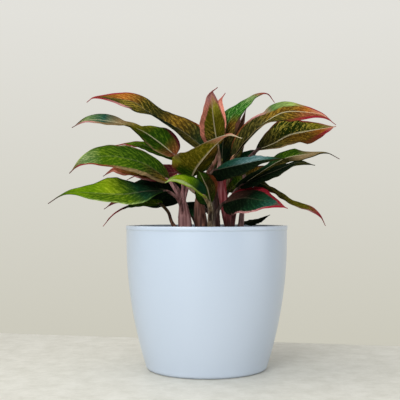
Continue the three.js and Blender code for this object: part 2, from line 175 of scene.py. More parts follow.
def area_light(name, place, aim, size, watts, colour):
    """A square soft light at place, turned towards aim."""
    bpy.ops.object.light_add(type="AREA", location=[v * MM for v in place])
    light = bpy.context.object
    light.name = name
    light.data.size = size * MM
    light.data.energy = watts
    light.data.color = colour
    away = mathutils.Vector([(a - b) * MM for a, b in zip(place, aim)])
    light.rotation_mode = "QUATERNION"
    light.rotation_quaternion = away.to_track_quat("Z", "Y")


# The main light is in front on the left, with a weaker one overhead and a faint one on the right.
area_light("window_light", (-610, -1370, 780), (0, 0, 150), 820, 19, (0.93, 0.97, 1.0))
area_light("top_light", (-350, -100, 1200), (0, 0, 150), 700, 5.4, (1.0, 0.98, 0.95))
area_light("bounce_light", (1000, -400, 320), (0, 0, 90), 700, 2.3, (0.94, 0.97, 1.0))


# Planter: one glossy moulded shell, very slightly blue white. The wall leans out from a flat
# base on one long arc, stands upright at the top, and ends in a low rounded lip.
RIM_RADIUS = 90
PLANTER_HEIGHT = 160
BASE_RADIUS = 67
STRAIGHT_FROM = 145
WALL = 4
FLOOR_THICKNESS = 4.5
LIP_HEIGHT = 4.5
LIP_STEP = 0.7
EDGE_ROUND = 1.2
FOOT_ROUND = 4.5
INNER_ROUND = 3
SIDES = 160
WALL_FROM = 10
WALL_RINGS = 22
PLANTER_DEEP = (0.51, 0.585, 0.685)
PLANTER_PALE = (0.545, 0.61, 0.705)
PLANTER_ROUGHNESS = (0.29, 0.35)
WALL_LEAN = RIM_RADIUS - BASE_RADIUS
ARC_RADIUS = (STRAIGHT_FROM**2 + WALL_LEAN**2) / (2 * WALL_LEAN)


def wall_radius(z):
    """The planter's outer radius at a height, in millimetres."""
    below = max(0, STRAIGHT_FROM - z)
    return RIM_RADIUS - ARC_RADIUS + math.sqrt(ARC_RADIUS**2 - below**2)


def rounded(centre_radius, centre_z, radius, start, end, steps=5):
    """Profile points of a rounded edge, from one angle to another."""
    angles = np.radians(np.linspace(start, end, steps))
    return [(centre_radius + radius * math.cos(a), centre_z + radius * math.sin(a)) for a in angles]


def raise_profile(name, profile, sides):
    """A disc extruded and resized from point to point of a (radius, height) profile."""
    bpy.ops.object.select_all(action="DESELECT")
    radius, height = profile[0]
    bpy.ops.mesh.primitive_circle_add(
        vertices=sides, radius=radius * MM, fill_type="NGON", location=(0, 0, height * MM)
    )
    piece = bpy.context.object
    piece.name = name
    bpy.ops.object.transform_apply(location=True)
    bpy.ops.object.mode_set(mode="EDIT")
    for (radius, height), (next_radius, next_height) in zip(profile, profile[1:]):
        move = (0, 0, (next_height - height) * MM)
        bpy.ops.mesh.extrude_region_move(TRANSFORM_OT_translate={"value": move})
        share = next_radius / radius
        bpy.ops.transform.resize(value=(share, share, 1))
    bpy.ops.mesh.select_all(action="SELECT")
    bpy.ops.mesh.normals_make_consistent(inside=False)
    bpy.ops.object.mode_set(mode="OBJECT")
    return piece


lip_radius = RIM_RADIUS + LIP_STEP
lip_foot = PLANTER_HEIGHT - LIP_HEIGHT
inside = RIM_RADIUS - WALL
planter_profile = [
    (wall_radius(0) - FOOT_ROUND, 0),
    *rounded(wall_radius(FOOT_ROUND) - FOOT_ROUND, FOOT_ROUND, FOOT_ROUND, -75, 0),
    *[(wall_radius(z), z) for z in np.linspace(WALL_FROM, STRAIGHT_FROM, WALL_RINGS)],
    (RIM_RADIUS, lip_foot - 2 * LIP_STEP),
    *rounded(lip_radius, lip_foot - LIP_STEP * 0.4, LIP_STEP, 180, 110, 3),
    *rounded(lip_radius - LIP_STEP, lip_foot + LIP_STEP, LIP_STEP, -60, 0, 3),
    *rounded(lip_radius - EDGE_ROUND, PLANTER_HEIGHT - EDGE_ROUND, EDGE_ROUND, 0, 90),
    *rounded(inside + EDGE_ROUND, PLANTER_HEIGHT - EDGE_ROUND, EDGE_ROUND, 90, 180),
    *[(wall_radius(z) - WALL, z) for z in np.linspace(STRAIGHT_FROM, FLOOR_THICKNESS + INNER_ROUND, 14)],
    (wall_radius(FLOOR_THICKNESS) - WALL - INNER_ROUND, FLOOR_THICKNESS),
]
planter = raise_profile("planter_shell", planter_profile, SIDES)
bpy.ops.object.shade_smooth_by_angle(angle=math.radians(35))

planter_finish = {"Coat Weight": 0.35, "Coat Roughness": 0.3}
planter_material, tree, shader = new_material("glossy_planter", planter_finish)
place = add_node(tree, "TexCoord").outputs["Object"]
clouding = add_noise(tree, place, 5.0, 0.0)
tint = add_ramp(tree, clouding, (0.3, PLANTER_DEEP), (0.7, PLANTER_PALE))
tree.links.new(tint, shader.inputs["Base Color"])
smears = add_range(tree, add_noise(tree, place, 12.0, 2.0), 0.0, 1.0, *PLANTER_ROUGHNESS)
tree.links.new(smears, shader.inputs["Roughness"])
planter.data.materials.append(planter_material)
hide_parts("planter")
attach(planter, "root")


# Potting mix: dark, damp and fibrous, filled in to a little way under the planter's lip. Its
# top is a little lumpy, with bark chips and grains of white perlite lying in it.
MIX_TOP = 138
MIX_GAP = 0.4
MIX_SIDES = 96
MIX_RINGS = 16
LUMP_HEIGHT = 1.3
SMALL_LUMP_HEIGHT = 0.9
CRUMB_HEIGHT = 3
CRUMB_WIDTH = 5
MIX_DARK = (0.012, 0.008, 0.005)
MIX_PALE = (0.11, 0.07, 0.042)
mix_edge = wall_radius(MIX_TOP) - WALL - MIX_GAP
mix_floor = FLOOR_THICKNESS + MIX_GAP
mix_profile = [
    (wall_radius(mix_floor) - WALL - MIX_GAP - INNER_ROUND, mix_floor),
    *[(wall_radius(z) - WALL - MIX_GAP, z) for z in np.linspace(mix_floor + INNER_ROUND, MIX_TOP, 12)],
    *[(mix_edge * share, MIX_TOP) for share in np.linspace(0.95, 0.04, MIX_RINGS)],
]
mix = raise_profile("potting_mix_bed", mix_profile, MIX_SIDES)


def vertex_places(mesh):
    """The mesh's vertices as an array of rows."""
    places = np.empty(len(mesh.vertices) * 3, np.float32)
    mesh.vertices.foreach_get("co", places)
    return places.reshape(-1, 3).astype(float)


def set_vertex_places(mesh, places):
    """Puts the mesh's vertices at the rows of an array."""
    mesh.vertices.foreach_set("co", places.astype(np.float32).ravel())
    mesh.update()


def mix_height(x, y):
    """The height of the mix's lumpy top at a place, in millimetres."""
    broad = np.sin(x * 0.21 + 1) * np.cos(y * 0.17 - 1)
    fine = np.sin(x * 0.63 + 2.1 * np.sin(y * 0.31)) * np.sin(y * 0.71 + 1.7 * np.sin(x * 0.27))
    return MIX_TOP + LUMP_HEIGHT * broad + SMALL_LUMP_HEIGHT * fine


places = vertex_places(mix.data)
radii = np.hypot(places[:, 0], places[:, 1])
on_top = (places[:, 2] > (MIX_TOP - 1) * MM) & (radii < (mix_edge - 1) * MM)
places[on_top, 2] = mix_height(places[on_top, 0] / MM, places[on_top, 1] / MM) * MM
set_vertex_places(mix.data, places)
subdivision = mix.modifiers.new("finer", "SUBSURF")
subdivision.subdivision_type = "SIMPLE"
subdivision.levels = 1
subdivision.render_levels = 1
crumble = bpy.data.textures.new("crumble", "CLOUDS")
crumble.noise_scale = CRUMB_WIDTH * MM
crumble.noise_depth = 3
roughen = mix.modifiers.new("crumbs", "DISPLACE")
roughen.texture = crumble
roughen.texture_coords = "LOCAL"
roughen.direction = "Z"
roughen.strength = CRUMB_HEIGHT * MM
top_group = mix.vertex_groups.new(name="top")
top_group.add([int(i) for i in np.flatnonzero(on_top)], 1, "REPLACE")
roughen.vertex_group = "top"
bpy.ops.object.modifier_apply(modifier="finer")
bpy.ops.object.modifier_apply(modifier="crumbs")
bpy.ops.object.shade_smooth_by_angle(angle=math.radians(60))


def add_bump(tree, shader, height, strength, depth):
    """Fine relief in a material, of a depth in millimetres."""
    bump = add_node(tree, "Bump", {"Height": height, "Strength": strength, "Distance": depth * MM})
    tree.links.new(bump.outputs["Normal"], shader.inputs["Normal"])


mix_material, tree, shader = new_material("damp_mix", {"Roughness": 0.92})
place = add_node(tree, "TexCoord").outputs["Object"]
fibres = add_noise(tree, place, 320.0, 8.0, 0.7)
earth = add_ramp(tree, fibres, (0.35, MIX_DARK), (0.72, MIX_PALE))
tree.links.new(earth, shader.inputs["Base Color"])
add_bump(tree, shader, fibres, 0.7, 1.2)
mix.data.materials.append(mix_material)
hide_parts("potting_mix")
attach(mix, "root")


# Bark chips and perlite: loose crumbs pressed a little into the top of the mix. One chip and
# one grain are modelled, and seeded copies of them are strewn over it.
CHIP_COUNT = 230
CHIP_SIZES = (1.6, 4.2)
GRAIN_COUNT = 90
GRAIN_SIZES = (0.8, 1.7)
CRUMB_SHAPE = (1, 0.62)
CRUMB_BEVEL = 0.12
CRUMB_TILT = 0.35
CRUMB_RISE = 0.25
CLEAR_OF_WALL = 5


def crumb_shape(name, flatness, roughness, seed):
    """A small lump of unit size, squashed and knocked out of round."""
    bpy.ops.object.select_all(action="DESELECT")
    bpy.ops.mesh.primitive_ico_sphere_add(subdivisions=1, radius=1)
    lump = bpy.context.object
    lump.name = name
    bpy.ops.object.mode_set(mode="EDIT")
    bpy.ops.mesh.bevel(offset=CRUMB_BEVEL, segments=1, affect="EDGES")
    bpy.ops.transform.resize(value=(*CRUMB_SHAPE, flatness))
    bpy.ops.object.mode_set(mode="OBJECT")
    knocks = np.random.default_rng(seed).uniform(1 - roughness, 1 + roughness, (len(lump.data.vertices), 1))
    set_vertex_places(lump.data, vertex_places(lump.data) * knocks)
    return lump


def copy_piece(piece, name):
    """A copy of a piece with a mesh of its own."""
    copy = piece.copy()
    copy.data = piece.data.copy()
    copy.name = name
    bpy.context.collection.objects.link(copy)
    return copy


def join_pieces(pieces, name):
    """Pieces joined as one, which is left selected."""
    bpy.ops.object.select_all(action="DESELECT")
    for piece in pieces:
        piece.select_set(True)
    bpy.context.view_layer.objects.active = pieces[0]
    bpy.ops.object.join()
    joined = bpy.context.object
    joined.name = name
    return joined


def strew(name, crumb, count, sizes, seed, material):
    """Copies of a crumb over the mix, joined as one piece."""
    draw = np.random.default_rng(seed)
    copies = []
    for _ in range(count):
        away = (mix_edge - CLEAR_OF_WALL) * math.sqrt(draw.uniform(0.0, 1.0))
        bearing = draw.uniform(0, 2 * math.pi)
        x, y = away * math.cos(bearing), away * math.sin(bearing)
        size = draw.uniform(*sizes)
        turn, lean = draw.uniform(0, 2 * math.pi, 2)
        copy = copy_piece(crumb, name)
        copy.location = (x * MM, y * MM, (float(mix_height(x, y)) + CRUMB_RISE * size) * MM)
        copy.rotation_euler = (CRUMB_TILT * math.sin(lean), CRUMB_TILT * math.cos(lean), turn)
        copy.scale = (size * MM,) * 3
        copies.append(copy)
    bpy.data.objects.remove(crumb)
    strewn = join_pieces(copies, name)
    bpy.ops.object.transform_apply(location=True, rotation=True, scale=True)
    strewn.data.materials.clear()
    strewn.data.materials.append(material)
    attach(strewn, "root")


def crumb_material(name, dark, pale, roughness):
    """Mottled dry bark or perlite."""
    material, tree, shader = new_material(name, {"Roughness": roughness})
    place = add_node(tree, "TexCoord").outputs["Object"]
    mottle = add_noise(tree, place, 260.0, 5.0)
    tree.links.new(add_ramp(tree, mottle, (0.35, dark), (0.65, pale)), shader.inputs["Base Color"])
    add_bump(tree, shader, mottle, 0.5, 0.5)
    return material


bark = crumb_material("bark", (0.035, 0.018, 0.01), (0.16, 0.085, 0.045), 0.85)
perlite = crumb_material("perlite", (0.55, 0.53, 0.48), (0.78, 0.76, 0.72), 0.8)
strew("bark_chips", crumb_shape("chip", 0.3, 0.2, 3), CHIP_COUNT, CHIP_SIZES, 11, bark)
strew("perlite_grains", crumb_shape("grain", 0.8, 0.12, 5), GRAIN_COUNT, GRAIN_SIZES, 12, perlite)


# Shoots: six short canes of wrapped, ruddy leaf sheaths that stand in the mix. From each rise
# grooved petioles that clasp the cane low down and are slim where they bend into a blade.
# Each tone below is a plain colour and the colour of its flecks or streaks. A few of them are painted light
# on the blades, as noted at each.
TONES = {
    # near black: painted shade, laid on blade bases deep in the plant, on halves hanging away from the
    # light and on the low leaves at the back
    "black": ((0.003, 0.006, 0.003), (0.009, 0.018, 0.007)),
    "dark": ((0.005, 0.022, 0.009), (0.014, 0.060, 0.022)),
    "teal": ((0.010, 0.050, 0.035), (0.040, 0.130, 0.080)),
    # bluish grey: a painted reflection of the bright room on a blade's raised half
    "sheen": ((0.050, 0.130, 0.120), (0.240, 0.340, 0.360)),
    "moss": ((0.016, 0.045, 0.003), (0.075, 0.135, 0.008)),
    "speckled": ((0.014, 0.026, 0.003), (0.340, 0.280, 0.040)),
    "gilt": ((0.026, 0.028, 0.004), (0.260, 0.180, 0.026)),
    "green": ((0.035, 0.080, 0.003), (0.130, 0.200, 0.010)),
    "vivid": ((0.012, 0.070, 0.005), (0.150, 0.310, 0.070)),
    "lime": ((0.080, 0.160, 0.002), (0.160, 0.270, 0.008)),
    "citrus": ((0.170, 0.250, 0.005), (0.320, 0.400, 0.020)),
    # grey green: the leaf's own pale patches in places, and a painted sheen on some lit tips and edges
    "sage": ((0.070, 0.135, 0.035), (0.300, 0.350, 0.150)),
    # pale yellow green: painted highlight, laid on the lit band and edge of small_light, the lit edges of
    # lower_left and right_long and the tip of mid_left
    "pale": ((0.260, 0.340, 0.090), (0.420, 0.480, 0.220)),
    "olive": ((0.085, 0.078, 0.004), (0.260, 0.205, 0.018)),
    "gold": ((0.280, 0.260, 0.018), (0.600, 0.520, 0.080)),
    "umber": ((0.018, 0.018, 0.004), (0.110, 0.088, 0.018)),
    "bronze": ((0.070, 0.036, 0.005), (0.300, 0.170, 0.018)),
    "tan": ((0.200, 0.135, 0.060), (0.340, 0.240, 0.120)),
    "orange": ((0.260, 0.070, 0.010), (0.520, 0.220, 0.040)),
    "rust": ((0.150, 0.040, 0.014), (0.420, 0.130, 0.060)),
    "salmon": ((0.550, 0.190, 0.130), (0.720, 0.360, 0.260)),
    "pink": ((0.450, 0.200, 0.190), (0.620, 0.360, 0.330)),
    "crimson": ((0.260, 0.016, 0.026), (0.440, 0.070, 0.075)),
    "berry": ((0.250, 0.035, 0.042), (0.420, 0.130, 0.135)),
    "wine": ((0.075, 0.012, 0.014), (0.200, 0.040, 0.045)),
    "cream": ((0.500, 0.420, 0.270), (0.620, 0.540, 0.380)),
    "mauve": ((0.210, 0.090, 0.085), (0.320, 0.170, 0.160)),
    "russet": ((0.100, 0.040, 0.026), (0.200, 0.090, 0.060)),
    "taupe": ((0.090, 0.064, 0.052), (0.200, 0.145, 0.110)),
    "maroon": ((0.036, 0.015, 0.011), (0.090, 0.040, 0.030)),
    "rose": ((0.290, 0.160, 0.145), (0.420, 0.260, 0.240)),
}
CANE_FOOT = 118
shoots = {
    "a": dict(x=-22.5, y=4, lean=-4.5, radius=8.0, top=190, tones="mauve"),
    "b": dict(x=-3.5, y=14, lean=-7, radius=7.8, top=192, tones="maroon maroon russet"),
    "c": dict(x=5, y=-16, lean=0, radius=4.4, top=176, tones="taupe taupe tan"),
    "d": dict(x=30, y=-2, lean=-18, radius=5.8, top=222,
              tones="russet russet maroon berry berry berry"),
    "e": dict(x=38, y=14, lean=2, radius=3.8, top=180, tones="rose"),
    "f": dict(x=11, y=34, lean=0, radius=5.0, top=190, tones="maroon"),
}
leaves = {}


def leaf(name, shoot, root, width, roll, fold, wave, midrib, tones, rim, edge, shape=(0.7, 1.4),
         via=None, left=None, rib=0.1, stalk="tan"):
    """Notes one leaf down for the shoot and blade sections.

    root is the height its petiole springs from, via a place that it passes and stalk its tones.
    roll turns the blade about its midrib and fold raises its halves, in degrees. wave is the
    height of its margin's waves, shape how much the outline draws in towards base and tip, and
    rib how plainly the pale midrib shows. tones, rim and edge are the blade's tones, its
    margin's and the margin's width, and left gives others for the left half, seen from above
    with the tip ahead. Lists run evenly from base to tip.
    """
    right_half = dict(tones=tones, rim=rim, edge=edge)
    leaves[name] = dict(
        shoot=shoot, root=root, width=width, roll=roll, fold=fold, wave=wave, midrib=midrib,
        shape=shape, via=via, rib=rib, stalk=stalk, right=right_half, left=right_half | (left or {}),
    )


# In the blades' tones below, the near-black tone is painted shade, and the bluish sheen, pale and sage
# tones on lit halves, tips and edges are partly painted highlight and reflection.
leaf("upper_left", "b", 168, 46, [-46, -40, -22, -16, -44, -50, -40, -36],
     [30, 30, 28, 22, 18, 14, 10, 0], 1.0,
     [[-3, 10, 248], [-30, 13, 268.5], [-51, 17, 280.5], [-70, 20, 292], [-84, 22, 302], [-106, 25, 307],
      [-130, 28, 308.5], [-140, 29, 303]],
     "dark umber bronze umber gilt orange bronze crimson",
     "salmon rust umber umber umber crimson crimson crimson",
     [0.24, 0.12, 0.05, 0.05, 0.05, 0.12, 0.5, 1.2], shape=(0.35, 1.05), stalk="russet tan",
     left=dict(tones="umber umber black black gilt gilt umber crimson",
               rim="umber umber umber umber umber pink crimson crimson",
               edge=[0.06, 0.06, 0.06, 0.06, 0.1, 0.2, 0.4, 1.2]))
leaf("left_second", "a", 170, 45, [-50, -53, -24, -6, -18, -40, -52, -46],
     [36, 36, 24, 14, 12, 24, 15, 10], 0.8,
     [[-36, 22, 240], [-57, 28, 257], [-76, 35, 270], [-96, 41, 278], [-118, 46, 283], [-142, 50, 285],
      [-161, 52, 276]],
     "rust moss moss olive tan teal sage wine", "wine wine umber umber tan umber umber wine",
     [0.26, 0.2, 0.05, 0.05, 0.1, 0.08, 0.12, 1.2], shape=(0.36, 1.05), rib=0.6, stalk="mauve russet",
     left=dict(rim="tan tan umber umber tan tan pink wine",
               edge=[0.1, 0.1, 0.1, 0.08, 0.2, 0.35, 0.45, 1.2]))
leaf("left_third", "a", 165, 36, [-14, -20, -20], [16, 14, 10], 0.6,
     [[-34, 37, 235], [-56, 49, 248], [-78, 60, 256], [-96, 69, 258], [-112, 76, 257]],
     "moss moss moss green moss", "moss umber umber crimson crimson", [0.05, 0.05, 0.06, 0.2, 1.2],
     shape=(0.7, 1.3), stalk="mauve tan")
leaf("mid_left", "a", 160, 54, [-42, -36, -40, -50, -42], [11, 12, 10, 12, 8], 0.8,
     [[-42, -5, 210], [-68, -12, 228], [-97, -22, 235.5], [-112, -27, 236], [-125, -30, 234],
      [-138, -33, 228], [-149, -35, 217]],
     "umber moss moss moss green sage wine", "moss moss tan tan umber pale wine",
     [0.04, 0.04, 0.08, 0.08, 0.05, 0.2, 1.2], shape=(0.7, 1.35), rib=0.05, stalk="mauve mauve",
     left=dict(tones="bronze umber moss green green sage wine", rim="tan tan tan tan rust crimson wine",
               edge=[0.3, 0.2, 0.24, 0.16, 0.12, 0.16, 1.2]))
leaf("lower_left", "a", 152, 57, [-16, -28, -38, -32, -25], [10, 15, 22, 11, 8], 1.0,
     [[-43, -15, 198], [-64, -24, 198], [-90, -36, 194], [-116, -45, 195], [-141, -53, 196],
      [-155, -57, 192], [-167, -60, 184]],
     "black black dark green citrus lime lime green wine",
     "black black black umber umber umber umber umber wine",
     [0.03, 0.03, 0.03, 0.04, 0.04, 0.05, 0.06, 0.3, 1.2], shape=(1.5, 2.4), rib=0.08,
     stalk="mauve maroon",
     left=dict(tones="black black dark green green green lime green wine",
               rim="black moss sage pale pale pale lime umber wine",
               edge=[0.03, 0.06, 0.08, 0.06, 0.06, 0.06, 0.1, 0.3, 1.2]))
leaf("low_left", "a", 144, 26, [-20, -22, -26], [10, 10, 8], 0.4,
     [[-53, 20, 184], [-69, 31, 186], [-85, 42, 184], [-101, 52, 179], [-114, 60, 171], [-126, 68, 158]],
     "green moss black wine crimson", "dark black black crimson crimson", [0.05, 0.05, 0.05, 0.3, 1.2],
     shape=(0.5, 1.5), via=[-39, 11, 162], stalk="russet umber")
leaf("under_left", "a", 160, 36, [-14, -20, -30], [12, 12, 8], 0.8,
     [[-40, 10, 209], [-65, 16, 218], [-89, 22, 222], [-106, 27, 225], [-121, 30, 217]],
     "umber umber bronze rust wine", "pink rust rust salmon wine", [0.2, 0.2, 0.2, 0.3, 1.2],
     shape=(0.6, 0.9), stalk="mauve maroon")
leaf("inner_left", "a", 158, 32, [-38, -45, -10], [12, 12, 8], 0.6,
     [[-32, 24, 221], [-50, 41, 221], [-70, 55, 221], [-84, 67, 220], [-98, 80, 215]],
     "wine wine umber bronze wine", "salmon crimson mauve pink wine", [0.1, 0.1, 0.2, 0.4, 1.2],
     stalk="mauve maroon")
leaf("centre_upright", "c", 168, 35, [36, 36, 26], [26, 26, 18], 0.8,
     [[12, -16, 248], [9, -28, 262], [6.5, -44, 278], [5, -60, 292], [5, -70, 299], [11, -78, 303.5]],
     "umber gilt olive olive salmon crimson", "rust salmon salmon salmon pink crimson",
     [0.3, 0.26, 0.36, 0.6, 0.9, 1.2], shape=(0.5, 1.3), rib=1.0, stalk="taupe mauve tan",
     left=dict(tones="umber olive olive gold salmon crimson", edge=[0.03, 0.03, 0.04, 0.16, 0.5, 1.2]))
leaf("behind_upright", "b", 170, 21, [0], [18, 18, 14], 0.4,
     [[12, 10, 258], [13, 22, 275], [14, 34, 291], [16, 44, 306], [22, 50, 317]],
     "olive bronze salmon salmon crimson", "salmon salmon salmon salmon crimson",
     [0.3, 0.4, 0.5, 0.6, 1.2], stalk="russet russet")
leaf("upper_right_green", "f", 165, 33, [12, 14, 14, 12], [20, 14, 10, 8], 1.0,
     [[17, 20, 232], [20.5, 30, 264], [30.5, 41, 289], [47, 49, 306], [61, 54, 315], [73, 58, 317],
      [82, 60, 307]],
     "black black umber bronze vivid vivid sage crimson crimson",
     "black black umber russet dark moss moss crimson crimson",
     [0.04, 0.04, 0.1, 0.3, 0.05, 0.05, 0.08, 0.5, 1.2], shape=(0.7, 1.0), stalk="maroon umber",
     left=dict(tones="black black dark vivid vivid vivid sage crimson crimson",
               edge=[0.04, 0.04, 0.04, 0.04, 0.05, 0.05, 0.08, 0.5, 1.2]))
leaf("right_long", "d", 194, 46, [32, 30, 30, 26, 44, 44, 34, 14], [34, 36, 34, 18, 14, 6, 4, 0], 0.8,
     [[29, -5, 236], [41, -6, 251], [51, -7, 262], [60, -8, 270.5], [70, -9, 278], [86, -10, 286],
      [106, -12, 286.5], [128, -14, 282.5], [143.5, -15, 272]],
     "black black dark umber gilt bronze rust rust crimson",
     "tan tan tan tan umber rust crimson crimson crimson",
     [0.06, 0.08, 0.14, 0.16, 0.08, 0.2, 0.3, 0.4, 1.2], shape=(0.75, 1.15), rib=0.6,
     stalk="crimson crimson crimson tan",
     left=dict(tones="black umber umber umber bronze bronze orange salmon crimson",
               rim="umber rust rust pink sage pale crimson crimson crimson",
               edge=[0.06, 0.1, 0.1, 0.2, 0.6, 0.5, 0.25, 0.5, 1.2]))
leaf("right_wavy", "e", 165, 49, [42, 39, 51, 37, 34], [30, 30, 20, 18, 10], 1.8,
     [[58, 24, 247], [78, 33, 255], [98, 43, 266], [122, 55, 272], [140, 66, 276], [158, 75, 280]],
     "black umber bronze bronze orange salmon", "tan tan bronze rust crimson salmon",
     [0.16, 0.14, 0.16, 0.3, 0.35, 0.8], shape=(0.9, 1.0), rib=0.8, stalk="rose maroon",
     left=dict(tones="black umber speckled speckled olive tan", rim="wine wine rust crimson rust salmon",
               edge=[0.05, 0.05, 0.08, 0.2, 0.16, 0.6]))
# mid_right: its raised left half carries a painted reflection, and its hanging right half is painted shade
# in near black.
leaf("mid_right", "c", 166, 52, [34, 33, 24], [10, 4, -2, 4, 4], 1.0,
     [[9, -17, 221], [30, -37, 225], [53, -58, 229], [68, -70, 230], [81, -80, 230]],
     "black", "black black umber umber umber", [0.03, 0.03, 0.03, 0.05, 1.0],
     shape=(0.6, 1.4), stalk="taupe maroon",
     left=dict(tones="dark teal sheen sheen teal umber"))
leaf("olive_right", "f", 160, 42, [30, 28, 20], [8, 8, 4], 0.8,
     [[25, 30, 199], [42, 38, 214], [55, 46, 222], [66, 54, 229], [74, 60, 231]],
     "umber moss umber bronze wine", "umber umber wine wine wine", [0.06, 0.08, 0.2, 0.4, 1.2],
     stalk="maroon umber")
leaf("right_thin_tip", "d", 164, 38, [20, 14, 12, 12, 22, 34, 20, 10, 10],
     [20, 14, 10, 6, 14, 16, 4, 0, 0], 0.6,
     [[33, -4, 200], [57, 0, 217], [87, 4, 235], [115, 8, 241], [136, 10, 243], [152, 12, 236]],
     "black black umber umber umber tan tan umber umber",
     "black black umber umber umber umber umber umber wine",
     [0.04, 0.04, 0.04, 0.05, 0.06, 0.08, 0.1, 0.4, 1.2], shape=(0.7, 1.2), rib=0.6, stalk="maroon rose",
     left=dict(tones="black black black dark moss moss tan umber umber"))
leaf("right_dark", "d", 155, 37, [28, 28, 27, 18], [4, 4, 4, 0], 0.8,
     [[38, -19, 204], [57, -34, 212.5], [78, -44, 221], [96, -54, 227.5], [114, -60, 224.5]],
     "black black black black umber", "black black umber umber umber", [0.04, 0.04, 0.04, 0.1, 1.2],
     shape=(0.6, 1.0), via=[34, -5, 188], stalk="maroon maroon")
leaf("low_right_broad", "c", 152, 48, [48, 36, 28], [4, 0, 0], 1.0,
     [[19, -25, 185], [39, -42, 190], [54, -58, 188], [70, -72, 184], [83, -81, 179]],
     "black black black dark teal crimson", "black maroon pink pink crimson crimson",
     [0.05, 0.06, 0.07, 0.08, 0.3, 1.2], shape=(0.6, 1.2), rib=0.03, stalk="taupe maroon",
     left=dict(tones="maroon maroon black dark teal crimson",
               rim="wine crimson crimson crimson crimson crimson", edge=[0.2, 0.3, 0.32, 0.26, 0.4, 1.2]))
leaf("long_droop", "e", 155, 33, [36, 34, 28, 18, 30, 30], [9], 0.8,
     [[45, 7, 207], [59, 14, 208], [70, 20, 205], [81, 27, 197.5], [100, 34, 187], [121, 39, 179.5],
      [134, 42, 170.5], [141, 45, 159]],
     "black black umber umber olive olive crimson crimson",
     "wine wine wine umber tan pink crimson crimson", [0.1, 0.1, 0.08, 0.06, 0.08, 0.16, 0.6, 1.2],
     shape=(0.7, 0.95), stalk="rose maroon")
leaf("small_low_right", "e", 146, 19, [14, 12, 12], [0], 0.4,
     [[40, 30, 162], [48, 38, 163], [57, 46, 165], [67, 53, 168], [76, 60, 172]],
     "black", "black", [0.04, 0.04, 1.0], stalk="maroon black")
leaf("centre_olive", "c", 162, 60, [6, 8, 14, 16, 10], [26, 32, 34, 22, 8], 1.2,
     [[-17, -25, 213], [-12, -52, 221], [-3, -80, 231], [9, -100, 243], [21, -109, 251], [35, -112, 248]],
     "moss moss olive olive olive olive salmon cream", "wine rust gold tan tan tan cream cream",
     [0.06, 0.16, 0.4, 0.1, 0.04, 0.05, 0.3, 1.2], shape=(0.6, 1.1), rib=1.0, stalk="taupe tan",
     left=dict(tones="moss olive umber bronze umber bronze rust cream",
               rim="umber umber umber umber umber umber salmon cream",
               edge=[0.04, 0.04, 0.05, 0.05, 0.05, 0.05, 0.3, 1.2]))
# small_light: the pale tones on its near half and edge are painted highlight.
leaf("small_light", "c", 152, 25, [-68, -66, -58, -52], [40, 40, 34, 18, 8], 0.6,
     [[-2, -68, 191], [-10, -80, 197], [-18, -91, 203], [-26, -99, 207], [-35, -107, 207],
      [-41, -111, 204]],
     "dark dark lime citrus pale", "dark dark moss lime pale", [0.1, 0.1, 0.15, 0.15, 0.9],
     shape=(0.5, 1.2), rib=0.4, stalk="taupe tan",
     left=dict(tones="citrus citrus pale pale pale", rim="lime citrus citrus citrus pale"))
leaf("front_midrib", "c", 156, 31, [42, 42, 36], [18, 18, 12], 0.6,
     [[4, -31, 184], [2, -43, 193], [0, -53, 201], [-3, -65, 207], [-6, -77, 213], [-10, -90, 219]],
     "dark moss moss moss moss", "umber", [0.05, 0.06, 0.08, 0.1, 1.0], rib=1.0,
     stalk="tan cream cream",
     left=dict(tones="moss umber umber moss moss", rim="russet rust rust umber umber",
               edge=[0.1, 0.24, 0.28, 0.16, 1.0]))
leaf("back_middle", "f", 165, 42, [0], [14, 14, 10], 1.2,
     [[6, 38, 222], [8, 60, 240], [12, 88, 252], [16, 116, 254], [20, 138, 246]],
     "black umber umber green wine", "umber umber crimson crimson wine", [0.06, 0.08, 0.16, 0.3, 1.2],
     stalk="maroon tan")
leaf("back_left", "b", 162, 40, [0], [14, 14, 10], 1.2,
     [[-9, 45, 222], [-15, 70, 234], [-23, 95, 238], [-30, 115, 236], [-36, 130, 230]],
     "dark moss green green wine", "dark umber pink crimson wine", [0.05, 0.08, 0.1, 0.2, 1.2],
     stalk="russet tan")
leaf("back_right", "f", 160, 27, [0], [14, 14, 10], 0.8,
     [[27, 30, 228], [32, 40, 248], [37, 50, 268], [43, 56, 284], [47, 60, 299]],
     "dark umber umber russet russet", "umber umber pink pink russet", [0.05, 0.08, 0.14, 0.4, 1.2],
     stalk="maroon tan")
leaf("low_back", "f", 152, 42, [0], [10, 10, 8], 1.0,
     [[-4, 52, 186], [-7, 74, 186], [-10, 96, 180], [-13, 114, 170], [-15, 126, 154]],
     "black black black dark maroon", "black black black maroon maroon", [0.04, 0.05, 0.06, 0.2, 1.2],
     stalk="maroon maroon")
leaf("low_back_left", "a", 150, 50, [-65, -65, -50], [10, 10, 8], 1.0,
     [[-29, 33, 190], [-48, 52, 201], [-76, 70, 201], [-104, 84, 194], [-128, 94, 179]],
     "black black black dark wine", "black dark dark wine wine", [0.04, 0.04, 0.06, 0.2, 1.2],
     stalk="mauve maroon")
leaf("low_back_right", "f", 172, 27, [34], [8], 0.8,
     [[31, 38, 224], [38, 45, 233], [46, 51, 240], [54, 56, 246], [64, 60, 250]],
     "black black dark dark maroon", "black dark dark umber maroon", [0.04, 0.05, 0.08, 0.2, 1.2],
     shape=(0.8, 1.2), via=[13, 39, 219], stalk="maroon maroon")


def unit(rows):
    """Rows of vectors at length 1."""
    rows = np.asarray(rows, float)
    return rows / np.linalg.norm(rows, axis=-1, keepdims=True)


